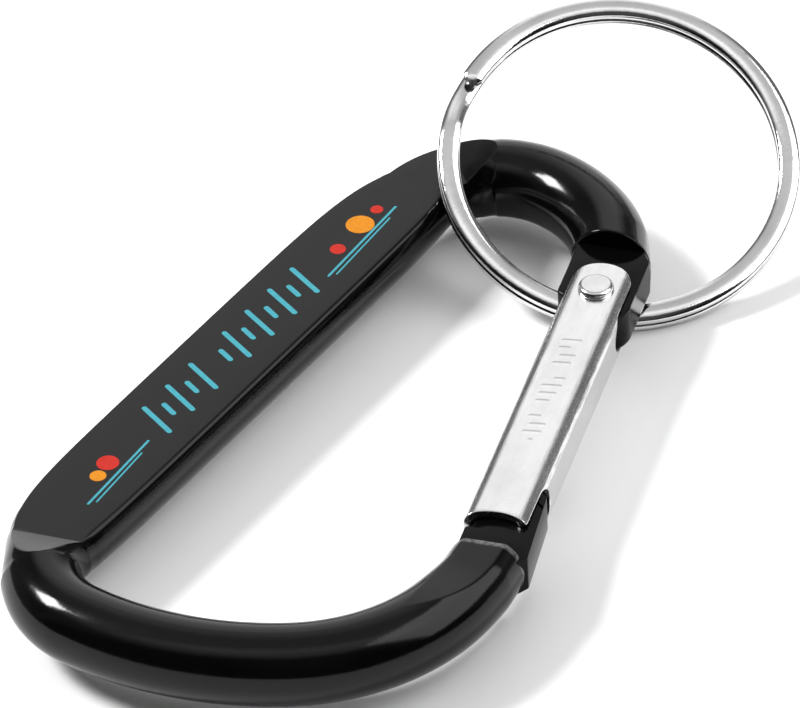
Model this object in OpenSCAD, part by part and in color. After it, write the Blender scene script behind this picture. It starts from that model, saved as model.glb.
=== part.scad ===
// Carabiner keyring: a bent wire frame with a spring gate and a split ring.
// Millimetres. The frame lies flat: X runs across from the spine to the gate,
// Y runs along the spine from the wide end to the narrow end, Z is up.

/* [Frame rod] */
// Diameter of the rod that the frame is bent from
rod_d = 6; // [5:0.5:8]
// Length of the straight spine
spine_len = 46; // [44:0.5:48]

/* [Frame bends] */
// Centreline radius of the bend that leaves the spine at the narrow end
far_bend_r = 7.4; // [7:0.1:8]
// Angle of that bend
far_bend_a = 94; // [92:1:96]
// Centreline radius of the bend that runs on to the hinge
hinge_bend_r = 11.6; // [11:0.1:12.2]
// Angle that the gate leans away from the spine
gate_tilt = 17.25; // [16:0.25:18.5]
// Distance between the ends of the two bends that the gate joins
gate_span = 33.7; // [33:0.1:34.4]
// Centreline radius of the long shallow bend across the wide end
wide_bend_r = 25.3; // [24:0.1:26.6]
// Angle of the corner bend between the spine and the wide end
corner_bend_a = 86; // [84:1:88]
// Angle of the long shallow bend
wide_bend_a = 37; // [35:1:39]
// How far the gate's centreline stands outside the line between the bends
gate_offset = 0.17; // [0:0.01:0.3]

/* [Pressed spine panel] */
// Thickness of the spine after pressing
panel_t = 3.4; // [3:0.1:4]
// Edge of the flat from the rod's centreline, on the outside
panel_out = 4.1; // [3.6:0.1:4.4]
// Edge of the flat from the rod's centreline, on the inside
panel_in = 3.1; // [2.8:0.1:3.4]
// How far the rounded side stands out past the flat's edge
panel_bulge = 0.6; // [0.4:0.05:0.8]
// How far the flat runs into the corner bend, in degrees
panel_near_a = 15; // [10:1:20]
// How far the flat runs into the narrow end's bend, in degrees
panel_far_a = 36; // [30:1:40]
// Length of the ramp from the flat up to the round rod
panel_ramp = 3.3; // [2.5:0.1:4]

/* [Hinge tongue] */
// Thickness of both tongues, which lie between the gate's flanges
tongue_t = 2.9; // [2.7:0.1:3]
// Pivot, measured along the gate from the end of the hinge bend
pivot_back = 3.25; // [3:0.05:3.6]
// Where the round rod steps down to the hinge tongue
hinge_step = 2.8; // [2.5:0.1:3.5]
// Width of the tongue on the inner side of the pivot
tongue_in = 3.05; // [3:0.05:3.1]
// Width of the tongue on the outer side of the pivot
tongue_out = 2.8; // [2.7:0.05:2.9]
// Distance from the pivot to the face that the plunger pushes
tongue_reach = 3.15; // [3:0.05:3.3]

/* [Nose] */
// Where the round rod steps down to the nose tongue, along the gate
nose_shoulder = 33.9; // [33.5:0.1:34.3]
// Where the tip of the nose tongue ends, along the gate
nose_tip = 26.6; // [26.4:0.1:27.2]
// Thickness of the rod where it is flattened behind the shoulder
nose_t = 5; // [4.6:0.1:5.4]
// Outer side of the nose tongue at the shoulder, from the gate's centreline
nose_out = 3.2; // [3.1:0.05:3.3]
// Angle that the outer side of the nose tongue leans out at
nose_lean = 3.5; // [2:0.5:5]
// How far the pressed nose swells out past the round rod
nose_swell = 0.2; // [0:0.05:0.3]
// How far the inner side of the nose is pressed in at the shoulder
nose_inset = 0.4; // [0:0.1:0.6]

/* [Gate] */
// Width of the folded gate
gate_w = 4.95; // [4.85:0.05:5.05]
// Thickness of the gate's sheet
sheet_t = 0.6; // [0.5:0.05:0.7]
// Play between each tongue and the flange beside it
flange_play = 0.1; // [0.08:0.01:0.15]
// Outer radius of the gate's long folds
fold_r = 1; // [0.8:0.1:1.2]
// Length of the gate along its centreline
gate_len = 31; // [30.6:0.1:31.4]
// Where the inner wall starts, along the gate
inner_wall_start = 4.9; // [4.8:0.1:5.4]
// Half height of the slots at both ends of the outer wall
slot_r = 1.65; // [1.6:0.01:1.7]
// Where the hinge slot in the outer wall ends
hinge_slot_end = 7; // [6.8:0.1:7.4]
// Where the nose slot in the outer wall starts
nose_slot_start = 25.2; // [24.6:0.1:25.2]
// Depth of the curved mouth at the gate's nose end
mouth_depth = 0.8; // [0.5:0.1:1]
// Gap along the middle of the inner wall, where the folded edges meet
seam_gap = 0.16; // [0.1:0.02:0.3]

/* [Hinge rivet] */
// Diameter of the rivet's shank
rivet_d = 1.9; // [1.7:0.05:2.1]
// Diameter of the rivet's heads
rivet_head_d = 2.7; // [2.5:0.1:3]
// Height of the rivet's heads
rivet_head_h = 0.5; // [0.3:0.05:0.6]
// Radial play between the shank and the tongue's bore
pivot_play = 0.05; // [0.03:0.01:0.08]

/* [Spring and plunger] */
// Diameter of the plunger's collar
plunger_d = 2.8; // [2.4:0.1:3]
// Length of the plunger's collar
collar_len = 1.5; // [1:0.1:2]
// Diameter of the plunger's stem, inside the spring
stem_d = 1.5; // [1.2:0.1:1.8]
// Length of the plunger's stem
stem_len = 3; // [2:0.5:4]
// Diameter of the spring's wire
spring_wire = 0.35; // [0.3:0.05:0.4]
// Number of turns in the spring
spring_turns = 11; // [8:1:13]
// Where the tab that stops the spring stands, along the gate
stop_pos = 19; // [17:0.5:21]

/* [Split ring] */
// Outer diameter of the split ring
ring_d = 27.7; // [27:0.1:28.4]
// Width of the ring's flattened wire, across the ring
ring_wire_w = 1.7; // [1.5:0.05:1.8]
// Height of the ring's flattened wire, along the ring's axis
ring_wire_h = 0.92; // [0.8:0.02:1]
// Angle that the ring lies at, up over the spine and down under the hinge
ring_tilt = 27.5; // [27:0.25:28]

/* [Hidden] */
$fn = 48;
eps = 0.01;

rod_r = rod_d / 2;
side_steps = 10;
flat_steps = 3;
arc_step = 6;
round_half = rod_r - 0.01;
corner_spread = 0.2;

// The spine starts at (0, 0) and runs along +Y. Headings are in degrees from
// +X, and the rod is followed from the hinge, round the spine, to the nose.
gate_head = 90 + gate_tilt;
hinge_bend_a = 180 - gate_tilt - far_bend_a;
nose_bend_a = 360 - hinge_bend_a - far_bend_a - corner_bend_a - wide_bend_a;
spine_top = [0, spine_len];
far_end = spine_top - bend_move(far_bend_r, 270 - far_bend_a, 270);
hinge_end = far_end - bend_move(hinge_bend_r, gate_head, 270 - far_bend_a);
gate_start = hinge_end + gate_offset * [cos(gate_tilt), sin(gate_tilt)];
nose_end = hinge_end + gate_span * [sin(gate_tilt), -cos(gate_tilt)];

// The corner and nose radii close the outline between the spine and the nose.
corner_to = 270 + corner_bend_a;
wide_to = corner_to + wide_bend_a;
corner_unit = bend_move(1, 270, corner_to);
nose_unit = bend_move(1, wide_to, 360 + gate_head);
open_gap = nose_end - bend_move(wide_bend_r, corner_to, wide_to);
close_det = corner_unit.x * nose_unit.y - nose_unit.x * corner_unit.y;
corner_bend_r = (open_gap.x * nose_unit.y - nose_unit.x * open_gap.y) / close_det;
nose_bend_r = (corner_unit.x * open_gap.y - open_gap.x * corner_unit.y) / close_det;

// Distances along the rod, from the start of the spine towards the hinge.
panel_near = -corner_bend_r * panel_near_a * PI / 180;
panel_far = spine_len + far_bend_r * panel_far_a * PI / 180;
corner_len = corner_bend_r * corner_bend_a * PI / 180;
wide_len = wide_bend_r * wide_bend_a * PI / 180;
nose_len = nose_bend_r * nose_bend_a * PI / 180;
rod_low = -corner_len - wide_len - nose_len;

inner_half = tongue_t / 2 + flange_play;
gate_half = inner_half + sheet_t;
wall_in = gate_w / 2 - sheet_t;
tongue_side = wall_in - 0.22;
stem_start = pivot_back + tongue_reach + 0.1;
spring_start = stem_start + collar_len;
spring_r = plunger_d / 2 - spring_wire / 2 - 0.05;

// The split ring's two turns, its single crossover and its place.
ring_mean_r = (ring_d - ring_wire_w) / 2;
ring_start_a = -154;
ring_cross_a = 22;
ring_turn_a = 360 - ring_cross_a;
ring_pitch = ring_wire_h + 0.03;
ring_steps = 96;
ring_pos = [12.7, 55.85, 2.55];

// The origin is under the middle of the whole object, at its lowest point.
origin_pos = [13.56, 29.42, -4.53];

function smooth(t) = let (u = min(max(t, 0), 1)) u * u * (3 - 2 * u);

function mix(a, b, t) = a + (b - a) * t;

// Movement along a left-hand bend of radius r between two headings.
function bend_move(r, from, to) = r * [sin(to) - sin(from), cos(from) - cos(to)];

// Half thickness of the rod at distance s along it.
function panel_half(s) = let (
        near_t = (panel_near - s) / panel_ramp,
        far_t = (s - panel_far) / panel_ramp,
        ramp_t = min(max(near_t, far_t, 0), 1)
    ) mix(panel_t / 2, round_half, ramp_t);

function nose_half(s) = mix(nose_t / 2, round_half, smooth((s - rod_low - 3) / 7));

function rod_half(s) = min(panel_half(s), nose_half(s));

// Half width of the flat that a half thickness h leaves on the round rod.
function cut_edge(h) = sqrt(rod_r * rod_r - h * h);

// Share of the full panel's spread: it fades out towards both bends.
function spread(s, near_share, near_fade, far_share, far_fade) =
    max(0, 1 - near_share * exp(-s / near_fade) - far_share * exp((s - spine_len) / far_fade));

function flat_edge(s, full, near_share, far_share) = let (
        h = rod_half(s),
        plain = cut_edge(h),
        pressed = 1 - (h - panel_t / 2) / (round_half - panel_t / 2),
        wide = mix(plain, full, spread(s, near_share, 2.9, far_share, 3.5)),
        least = plain + (s < spine_len / 2 ? corner_spread : 0)
    ) s < panel_near - panel_ramp ? plain : mix(plain, max(wide, least), max(0, pressed));

// The pressed nose swells outwards a little behind its shoulder.
function nose_bulge(s) = nose_swell * (1 - smooth((s - rod_low) / 4));

function nose_tuck(s) = nose_inset * (1 - smooth((s - rod_low) / 6));

function side_bulge(s) = let (
        h = rod_half(s),
        pressed = max(0, 1 - (h - panel_t / 2) / (round_half - panel_t / 2))
    ) mix(rod_r - cut_edge(h), s < panel_near - panel_ramp ? rod_r - cut_edge(h) : panel_bulge, pressed);

// One side of the section: an arc from the lower edge up to the upper edge.
function side_arc(edge, h, bulge) = let (
        r = (h * h + bulge * bulge) / (2 * bulge),
        half_a = asin(min(1, h / r))
    ) [for (i = [0:side_steps]) let (a = mix(-half_a, half_a, i / side_steps))
        [edge + bulge - r + r * cos(a), r * sin(a)]];

// The rod's section at s, as [outward, up] points, going round from the
// lower outer edge by way of the outer side.
function rod_section(s) = let (
        h = rod_half(s),
        outer = flat_edge(s, panel_out, 0.5, 0.8) + nose_bulge(s),
        inner = flat_edge(s, panel_in, 0.35, 0.5) - nose_tuck(s),
        bulge = side_bulge(s),
        out_side = side_arc(outer, h, bulge),
        in_side = side_arc(inner, h, bulge)
    ) concat(
        out_side,
        [for (i = [1:flat_steps - 1]) [mix(outer, -inner, i / flat_steps), h]],
        [for (p = in_side) [-p.x, -p.y]],
        [for (i = [1:flat_steps - 1]) [mix(-inner, outer, i / flat_steps), -h]]
    );

// Stations of one bend, as [x, y, heading, distance along the rod].
function bend_stations(start, r, from, to, s_start, s_end) = let (steps = ceil((to - from) / arc_step))
    [for (i = [0:steps - 1]) let (a = mix(from, to, i / steps), p = start + bend_move(r, from, a))
        [p.x, p.y, a, mix(s_start, s_end, i / steps)]];

// Distances along the spine at which its section changes.
spine_stops = concat([0], [for (i = [1:6]) 1.6 * i], [18, 32], [for (i = [1:7]) 32 + 2 * i]);
spine_stations = [for (i = [len(spine_stops) - 1:-1:1]) [0, spine_stops[i], 270, spine_stops[i]]];

// Bends are stepped so that the flat and its ramps end exactly on a section.
ramp_a = panel_ramp / far_bend_r * 180 / PI;
near_ramp_a = panel_ramp / corner_bend_r * 180 / PI;
far_stops = [far_bend_a, panel_far_a + ramp_a, panel_far_a, 0];
near_stops = [0, panel_near_a, panel_near_a + near_ramp_a, corner_bend_a];

rod_stations = concat(
    bend_stations(hinge_end, hinge_bend_r, gate_head, 270 - far_bend_a,
        spine_len + far_bend_r * far_bend_a * PI / 180 + hinge_bend_r * hinge_bend_a * PI / 180,
        spine_len + far_bend_r * far_bend_a * PI / 180),
    [for (i = [0:2]) each bend_stations(
        spine_top - bend_move(far_bend_r, 270 - far_stops[i], 270), far_bend_r,
        270 - far_stops[i], 270 - far_stops[i + 1],
        spine_len + far_bend_r * far_stops[i] * PI / 180,
        spine_len + far_bend_r * far_stops[i + 1] * PI / 180)],
    spine_stations,
    [for (i = [0:2]) each bend_stations(
        bend_move(corner_bend_r, 270, 270 + near_stops[i]), corner_bend_r,
        270 + near_stops[i], 270 + near_stops[i + 1],
        -corner_bend_r * near_stops[i] * PI / 180,
        -corner_bend_r * near_stops[i + 1] * PI / 180)],
    bend_stations(bend_move(corner_bend_r, 270, corner_to), wide_bend_r, corner_to, wide_to,
        -corner_len, -corner_len - wide_len),
    bend_stations(nose_end - bend_move(nose_bend_r, wide_to, 360 + gate_head), nose_bend_r, wide_to,
        360 + gate_head, -corner_len - wide_len, rod_low),
    [[nose_end.x, nose_end.y, 360 + gate_head, rod_low]]
);

// A closed solid from rings of points that all have the same count.
module skin(rings) {
    n = len(rings[0]);
    last = len(rings) - 1;
    sides = [for (i = [0:last - 1], j = [0:n - 1])
        [i * n + j, i * n + (j + 1) % n, (i + 1) * n + (j + 1) % n, (i + 1) * n + j]];
    caps = [[for (j = [n - 1:-1:0]) j], [for (j = [0:n - 1]) last * n + j]];
    polyhedron([for (ring = rings) each ring], concat(sides, caps), convexity = 8);
}

module placed() {
    translate(-origin_pos) children();
}

// The gate's own frame: the end of the hinge bend is at the origin, +Y points
// back past the hinge, and +X points to the outside.
module along_gate() {
    translate([gate_start.x, gate_start.y, 0]) rotate([0, 0, gate_tilt]) children();
}

module bent_rod() {
    skin([for (st = rod_stations) let (out = [sin(st[2]), -cos(st[2])])
        [for (q = rod_section(st[3])) [st.x + q.x * out.x, st.y + q.x * out.y, q.y]]]);
}

module hinge_tongue() {
    corner = 2.4;
    end_y = -pivot_back - tongue_reach;
    translate([0, 0, -tongue_t / 2]) linear_extrude(tongue_t) polygon(concat(
        [
            [-tongue_in, 2],
            [-tongue_in, -pivot_back],
            [-2.42, -pivot_back - 0.38],
            [-2.12, -pivot_back - 1.05],
            [-tongue_side, -pivot_back - 1.6],
            [-tongue_side, end_y + 0.3],
            [-tongue_side + 0.3, end_y],
        ],
        [for (a = [-90:9:0]) [tongue_out + corner * (cos(a) - 1), end_y + corner * (sin(a) + 1)]],
        [[tongue_out, 2]]
    ));
}

module nose_tongue() {
    tip_x = nose_out - tan(nose_lean) * (nose_shoulder - nose_tip);
    tip_r = 0.6;
    translate([0, 0, -tongue_t / 2]) linear_extrude(tongue_t) union() {
        polygon([
            [-tongue_side, -nose_tip - tip_r],
            [-tongue_side + tip_r, -nose_tip],
            [tip_x - tip_r, -nose_tip],
            [tip_x, -nose_tip - tip_r],
            [nose_out, -nose_shoulder],
            [nose_out - 0.6, -nose_shoulder - 0.8],
            [-tongue_side - 0.5, -nose_shoulder - 0.8],
            [-tongue_side - 0.5, -gate_len - 0.5],
            [-tongue_side, -gate_len - 0.2],
        ]);
        translate([-tongue_side + tip_r, -nose_tip - tip_r]) circle(tip_r);
        translate([tip_x - tip_r, -nose_tip - tip_r]) circle(tip_r);
    }
}

// Everything above and below a tongue, from y0 to y1 along the gate.
module tongue_clearance(y0, y1) {
    for (side = [-1, 1])
        translate([-5, y0, side * (tongue_t / 2 + 2) - 2]) cube([10, y1 - y0, 4]);
}

module frame() {
    color("#2b2b2d") placed() difference() {
        union() {
            bent_rod();
            along_gate() hinge_tongue();
            along_gate() nose_tongue();
        }
        along_gate() {
            tongue_clearance(-8, hinge_step);
            tongue_clearance(-nose_shoulder, -20);
            translate([tongue_out, -1, -5]) cube([4, 2.6, 10]);
            translate([0, -pivot_back, -5]) cylinder(h = 10, d = rivet_d + 2 * pivot_play);
        }
    }
}

module rounded_bar(half_w, half_h, r, length) {
    flat_w = half_w - r;
    flat_h = half_h - r;
    rotate([90, 0, 0]) linear_extrude(length) union() {
        square([2 * half_w, 2 * flat_h], center = true);
        square([2 * flat_w, 2 * half_h], center = true);
        for (x = [-flat_w, flat_w], z = [-flat_h, flat_h])
            translate([x, z]) circle(r);
    }
}

// The gate seen from above: round at the hinge, with a curved mouth.
module gate_outline() {
    half_w = gate_w / 2;
    mouth_r = (half_w * half_w + mouth_depth * mouth_depth) / (2 * mouth_depth);
    difference() {
        union() {
            translate([0, -half_w]) circle(half_w);
            translate([-half_w, -gate_len]) square([gate_w, gate_len - half_w]);
        }
        translate([0, -gate_len + mouth_depth - mouth_r]) circle(mouth_r);
    }
}

// A slot through the outer wall with a round end at y_end.
module outer_slot(y_end, y_open) {
    y_mid = y_end + sign(y_open - y_end) * slot_r;
    x_in = wall_in - fold_r + sheet_t;
    translate([x_in, y_mid, 0]) rotate([0, 90, 0]) cylinder(h = 2, r = slot_r);
    translate([x_in, min(y_mid, y_open), -slot_r]) cube([2, abs(y_open - y_mid), 2 * slot_r]);
}

// A tab cut from the lower flange and bent up, which the spring pushes on.
module spring_stop() {
    translate([-1.2, -stop_pos - sheet_t, -inner_half - eps]) cube([2.4, sheet_t, 2.4]);
}

module gate_shell() {
    half_w = gate_w / 2;
    color("#d9dadb") placed() along_gate() {
        difference() {
            intersection() {
                rounded_bar(half_w, gate_half, fold_r, gate_len);
                translate([0, 0, -5]) linear_extrude(10) gate_outline();
            }
            translate([0, 1, 0]) rounded_bar(wall_in, inner_half, fold_r - sheet_t, gate_len + 2);
            translate([-half_w - 1, -inner_wall_start, -inner_half]) cube([2, 6, 2 * inner_half]);
            outer_slot(-hinge_slot_end, 1);
            outer_slot(-nose_slot_start, -gate_len - 1);
            translate([-half_w - 1, -gate_len - 1, -seam_gap / 2]) cube([2, gate_len, seam_gap]);
            translate([0, -pivot_back, -5]) cylinder(h = 10, d = rivet_d);
            translate([-1.2, -stop_pos - sheet_t - 2.4, -gate_half - 1]) cube([2.4, 2.4, 2]);
        }
        spring_stop();
    }
}

module hinge_rivet() {
    head_r = rivet_head_d / 2;
    color("#c9cacc") placed() along_gate() translate([0, -pivot_back, 0]) rotate_extrude() polygon([
        [0, -gate_half - rivet_head_h],
        [head_r - 0.25, -gate_half - rivet_head_h],
        [head_r, -gate_half - rivet_head_h + 0.25],
        [head_r, -gate_half],
        [rivet_d / 2, -gate_half],
        [rivet_d / 2, gate_half],
        [head_r, gate_half],
        [head_r, gate_half + rivet_head_h - 0.25],
        [head_r - 0.25, gate_half + rivet_head_h],
        [0, gate_half + rivet_head_h],
    ]);
}

module spring_plunger() {
    collar_r = plunger_d / 2;
    color("#8d8f92") placed() along_gate() translate([0, -stem_start, 0]) rotate([90, 0, 0])
        rotate_extrude() polygon([
            [0, 0],
            [collar_r - 0.3, 0],
            [collar_r, 0.3],
            [collar_r, collar_len],
            [stem_d / 2, collar_len],
            [stem_d / 2, collar_len + stem_len - 0.3],
            [stem_d / 2 - 0.3, collar_len + stem_len],
            [0, collar_len + stem_len],
        ]);
}

module gate_spring() {
    turn_steps = 14;
    wire_r = spring_wire / 2;
    wire_sides = 6;
    steps = spring_turns * turn_steps;
    first = spring_start + wire_r + 0.02;
    last = stop_pos - wire_r - 0.02;
    color("#9a9ca0") placed() along_gate() skin([for (i = [0:steps]) let (
            a = 360 * i / turn_steps,
            y = -mix(first, last, i / steps)
        ) [for (k = [0:wire_sides - 1]) let (
            b = 360 * k / wire_sides,
            r = spring_r + wire_r * cos(b)
        ) [r * sin(a), y + wire_r * sin(b), r * cos(a)]]]);
}

// Height of the ring's wire after a turn of a degrees along its two coils.
function ring_level(a) = ring_pitch * (smooth((a - ring_turn_a) / ring_cross_a) - 0.5);

module split_ring() {
    half_w = ring_wire_w / 2;
    half_h = ring_wire_h / 2;
    soft = 0.28;
    wire = [
        [half_w, -half_h + soft], [half_w, half_h - soft],
        [half_w - soft, half_h], [-half_w + soft, half_h],
        [-half_w, half_h - soft], [-half_w, -half_h + soft],
        [-half_w + soft, -half_h], [half_w - soft, -half_h],
    ];
    total_a = 2 * ring_turn_a + ring_cross_a;
    color("#cfd0d2") placed() translate(ring_pos) rotate(a = ring_tilt, v = [1, 1, 0])
        skin([for (i = [0:ring_steps]) let (
            turned = total_a * i / ring_steps,
            a = ring_start_a + turned
        ) [for (q = wire) [
            (ring_mean_r + q.x) * cos(a),
            (ring_mean_r + q.x) * sin(a),
            q.y + ring_level(turned)
        ]]]);
}

frame();
gate_shell();
hinge_rivet();
spring_plunger();
gate_spring();
split_ring();
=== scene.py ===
import math

import bpy
import numpy as np
from mathutils import Matrix, Vector, geometry


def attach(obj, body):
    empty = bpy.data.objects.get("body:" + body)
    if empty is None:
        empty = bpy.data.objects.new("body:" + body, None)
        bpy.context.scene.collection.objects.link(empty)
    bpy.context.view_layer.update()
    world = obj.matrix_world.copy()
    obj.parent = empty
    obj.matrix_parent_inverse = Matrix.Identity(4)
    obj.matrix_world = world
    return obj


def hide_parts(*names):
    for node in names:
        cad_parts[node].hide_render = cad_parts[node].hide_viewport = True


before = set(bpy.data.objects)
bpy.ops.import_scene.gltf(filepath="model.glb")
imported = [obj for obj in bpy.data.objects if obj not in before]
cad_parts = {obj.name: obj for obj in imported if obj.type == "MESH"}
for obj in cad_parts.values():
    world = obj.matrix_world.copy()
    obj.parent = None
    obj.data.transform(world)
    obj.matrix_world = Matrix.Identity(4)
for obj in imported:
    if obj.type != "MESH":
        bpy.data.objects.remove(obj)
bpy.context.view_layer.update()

MM = 0.001
sin, cos, pi = math.sin, math.cos, math.pi
rad, deg = math.radians, math.degrees


# ---------------------------------------------------------------- camera
CAMERA_POS = Vector((0.264799, -0.374247, 0.367480))
VIEW_AZIMUTH = rad(35.63)
VIEW_ELEVATION = rad(38.17)
VIEW_ROLL = rad(-3.337)
SENSOR_MM, FOCAL_MM = 36.0, 354.6
CLIP_NEAR, CLIP_FAR = 0.01, 20.0


def add_camera():
    az, el = VIEW_AZIMUTH, VIEW_ELEVATION
    forward = Vector((-sin(az) * cos(el), cos(az) * cos(el), -sin(el)))
    level = Vector((cos(az), sin(az), 0.0))
    up = level.cross(forward)
    right = level * cos(VIEW_ROLL) + up * sin(VIEW_ROLL)
    up = right.cross(forward)
    data = bpy.data.cameras.new("camera")
    data.sensor_width = SENSOR_MM
    data.lens = FOCAL_MM
    data.clip_start, data.clip_end = CLIP_NEAR, CLIP_FAR
    camera = bpy.data.objects.new("camera", data)
    bpy.context.scene.collection.objects.link(camera)
    turn = Matrix((right, up, -forward)).transposed().to_4x4()
    camera.matrix_world = Matrix.Translation(CAMERA_POS) @ turn
    bpy.context.scene.camera = camera


add_camera()


# ---------------------------------------------------------------- the CAD's own sizes
# Lengths are in mm and names that end in _A are in degrees.
ORIGIN = np.array([13.56, 29.42, -4.53])

# the rod's centreline, from the spine round the far bend to the hinge and round the
# corner and the wide bend to the nose
ROD_R = 3.0
SPINE_LEN = 46.0
FAR_R, FAR_A = 7.4, 94.0
HINGE_R = 11.6
GATE_TILT = 17.25
GATE_SPAN = 33.7
WIDE_R, WIDE_A = 25.3, 37.0
CORNER_A = 86.0
GATE_OFFSET = 0.17

# the pressed flat on the spine
PANEL_HALF = 1.7
PANEL_OUT, PANEL_IN, PANEL_BULGE = 4.1, 3.1, 0.6
PANEL_NEAR_A, PANEL_FAR_A, PANEL_RAMP = 15.0, 36.0, 3.3

# the tongues at both ends of the rod
TONGUE_HALF = 1.45
PIVOT_BACK, HINGE_STEP = 3.25, 2.8
TONGUE_IN, TONGUE_OUT, TONGUE_REACH = 3.05, 2.8, 3.15
NOSE_SHOULDER, NOSE_TIP, NOSE_HALF = 33.9, 26.6, 2.5
NOSE_OUT, NOSE_LEAN, NOSE_SWELL, NOSE_INSET = 3.2, 3.5, 0.2, 0.4

# the gate, what is inside it, and its rivet
GATE_W, SHEET_T, FOLD_R, GATE_LEN = 4.95, 0.6, 1.0, 31.0
INNER_HALF = TONGUE_HALF + 0.1
GATE_HALF = INNER_HALF + SHEET_T
WALL_IN = GATE_W / 2 - SHEET_T
TONGUE_SIDE = WALL_IN - 0.22
INNER_WALL_START, SLOT_R = 4.9, 1.65
HINGE_SLOT_END, NOSE_SLOT_START = 7.0, 25.2
MOUTH_DEPTH, SEAM_GAP = 0.8, 0.16
RIVET_D, RIVET_HEAD_R, RIVET_HEAD_H = 1.9, 1.35, 0.5
PLUNGER_R, COLLAR_LEN, STEM_R, STEM_LEN = 1.4, 1.5, 0.75, 3.0
PLUNGER_START = PIVOT_BACK + TONGUE_REACH + 0.1
SPRING_WIRE_R, SPRING_TURNS, STOP_POS = 0.175, 11, 19.0

# the split ring
RING_D, RING_W, RING_H, RING_TILT = 27.7, 1.7, 0.92, 27.5
RING_POS = np.array([12.7, 55.85, 2.55])
RING_START_A, RING_CROSS_A = -154.0, 22.0


def bend_move(r, start, end):
    """The way covered on a bend of radius r, from one heading to another in degrees."""
    a, b = rad(start), rad(end)
    return r * np.array([sin(b) - sin(a), cos(a) - cos(b)])


# headings and end points of the bends; the corner's and the nose bend's radii are the
# two that close the loop
gate_head = 90 + GATE_TILT
hinge_bend_a = 180 - GATE_TILT - FAR_A
nose_bend_a = 360 - hinge_bend_a - FAR_A - CORNER_A - WIDE_A
far_end = np.array([0, SPINE_LEN]) - bend_move(FAR_R, 270 - FAR_A, 270)
hinge_end = far_end - bend_move(HINGE_R, gate_head, 270 - FAR_A)
gate_x = np.array([cos(rad(GATE_TILT)), sin(rad(GATE_TILT))])
gate_y = np.array([-gate_x[1], gate_x[0]])
gate_start = hinge_end + GATE_OFFSET * gate_x
nose_end = hinge_end - GATE_SPAN * gate_y
corner_to = 270 + CORNER_A
wide_to = corner_to + WIDE_A
nose_to = 360 + gate_head
open_gap = nose_end - bend_move(WIDE_R, corner_to, wide_to)
units = np.array([bend_move(1, 270, corner_to), bend_move(1, wide_to, nose_to)]).T
corner_r, nose_r = np.linalg.solve(units, open_gap)

# places along the rod: 0 at the near end of the spine, rising to the hinge
corner_len = corner_r * rad(CORNER_A)
wide_len = WIDE_R * rad(WIDE_A)
nose_len = nose_r * rad(nose_bend_a)
rod_low = -corner_len - wide_len - nose_len
panel_near = -corner_r * rad(PANEL_NEAR_A)
panel_far = SPINE_LEN + FAR_R * rad(PANEL_FAR_A)
far_s = SPINE_LEN + FAR_R * rad(FAR_A)
rod_high = far_s + HINGE_R * rad(hinge_bend_a)


def smooth(t):
    u = min(max(t, 0.0), 1.0)
    return u * u * (3 - 2 * u)


def mix(a, b, t):
    return a + (b - a) * t


def rod_place(s):
    """The rod's centreline at s: position and outward direction."""
    if s > far_s:
        h = 270 - FAR_A - deg((s - far_s) / HINGE_R)
        p = far_end - bend_move(HINGE_R, h, 270 - FAR_A)
    elif s > SPINE_LEN:
        h = 270 - deg((s - SPINE_LEN) / FAR_R)
        p = np.array([0, SPINE_LEN]) - bend_move(FAR_R, h, 270)
    elif s >= 0:
        h, p = 270, np.array([0.0, s])
    elif s > -corner_len:
        h = 270 + deg(-s / corner_r)
        p = bend_move(corner_r, 270, h)
    elif s > -corner_len - wide_len:
        h = corner_to + deg((-corner_len - s) / WIDE_R)
        p = bend_move(corner_r, 270, corner_to) + bend_move(WIDE_R, corner_to, h)
    else:
        h = nose_to - deg((s - rod_low) / nose_r)
        p = nose_end - bend_move(nose_r, h, nose_to)
    return p, np.array([sin(rad(h)), -cos(rad(h))])


# ---------------------------------------------------------------- mesh helpers
def add_piece(name, shape, body, material, replaces=(), crease=17.0, attributes=None):
    """A mesh in design millimetres becomes a piece in the part's frame."""
    points, faces = shape
    mesh = bpy.data.meshes.new(name)
    mesh.from_pydata(((np.asarray(points) - ORIGIN) * MM).tolist(), [], faces)
    mesh.validate()
    mesh.update()
    mesh.shade_smooth()
    mesh.set_sharp_from_angle(angle=rad(crease))
    mesh.materials.append(material)
    for key, values in (attributes or {}).items():
        data = mesh.attributes.new(key, "FLOAT", "POINT").data
        data.foreach_set("value", np.asarray(values, np.float32))
    piece = bpy.data.objects.new(name, mesh)
    bpy.context.scene.collection.objects.link(piece)
    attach(piece, body)
    if replaces:
        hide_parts(*replaces)


def loft(rings, first=0, capped=True):
    """Faces between closed rings of equal count, whose points start at index first."""
    count, n = len(rings), len(rings[0])
    faces = []
    for i in range(count - 1):
        low, high = first + i * n, first + (i + 1) * n
        for j in range(n):
            k = (j + 1) % n
            faces.append((low + j, low + k, high + k, high + j))
    if capped:
        faces.append(tuple(first + j for j in reversed(range(n))))
        faces.append(tuple(first + (count - 1) * n + j for j in range(n)))
    return faces


def join(parts):
    """Several (points, faces) become one."""
    points, faces, base = [], [], 0
    for p, f in parts:
        points.append(np.asarray(p, float))
        faces += [tuple(i + base for i in face) for face in f]
        base += len(p)
    return np.vstack(points), faces


def arc(cx, cy, r, a0, a1, n):
    """n + 1 points round a centre, from one angle to another in degrees."""
    angles = [rad(mix(a0, a1, i / n)) for i in range(n + 1)]
    return [(cx + r * cos(a), cy + r * sin(a)) for a in angles]


def even_loop(points, step):
    """A closed line, sampled again at even steps."""
    p = np.vstack([points, points[:1]]).astype(float)
    d = np.r_[0, np.cumsum(np.linalg.norm(np.diff(p, axis=0), axis=1))]
    n = max(8, int(round(d[-1] / step)))
    t = np.linspace(0, d[-1], n, endpoint=False)
    return np.c_[np.interp(t, d, p[:, 0]), np.interp(t, d, p[:, 1])]


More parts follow.
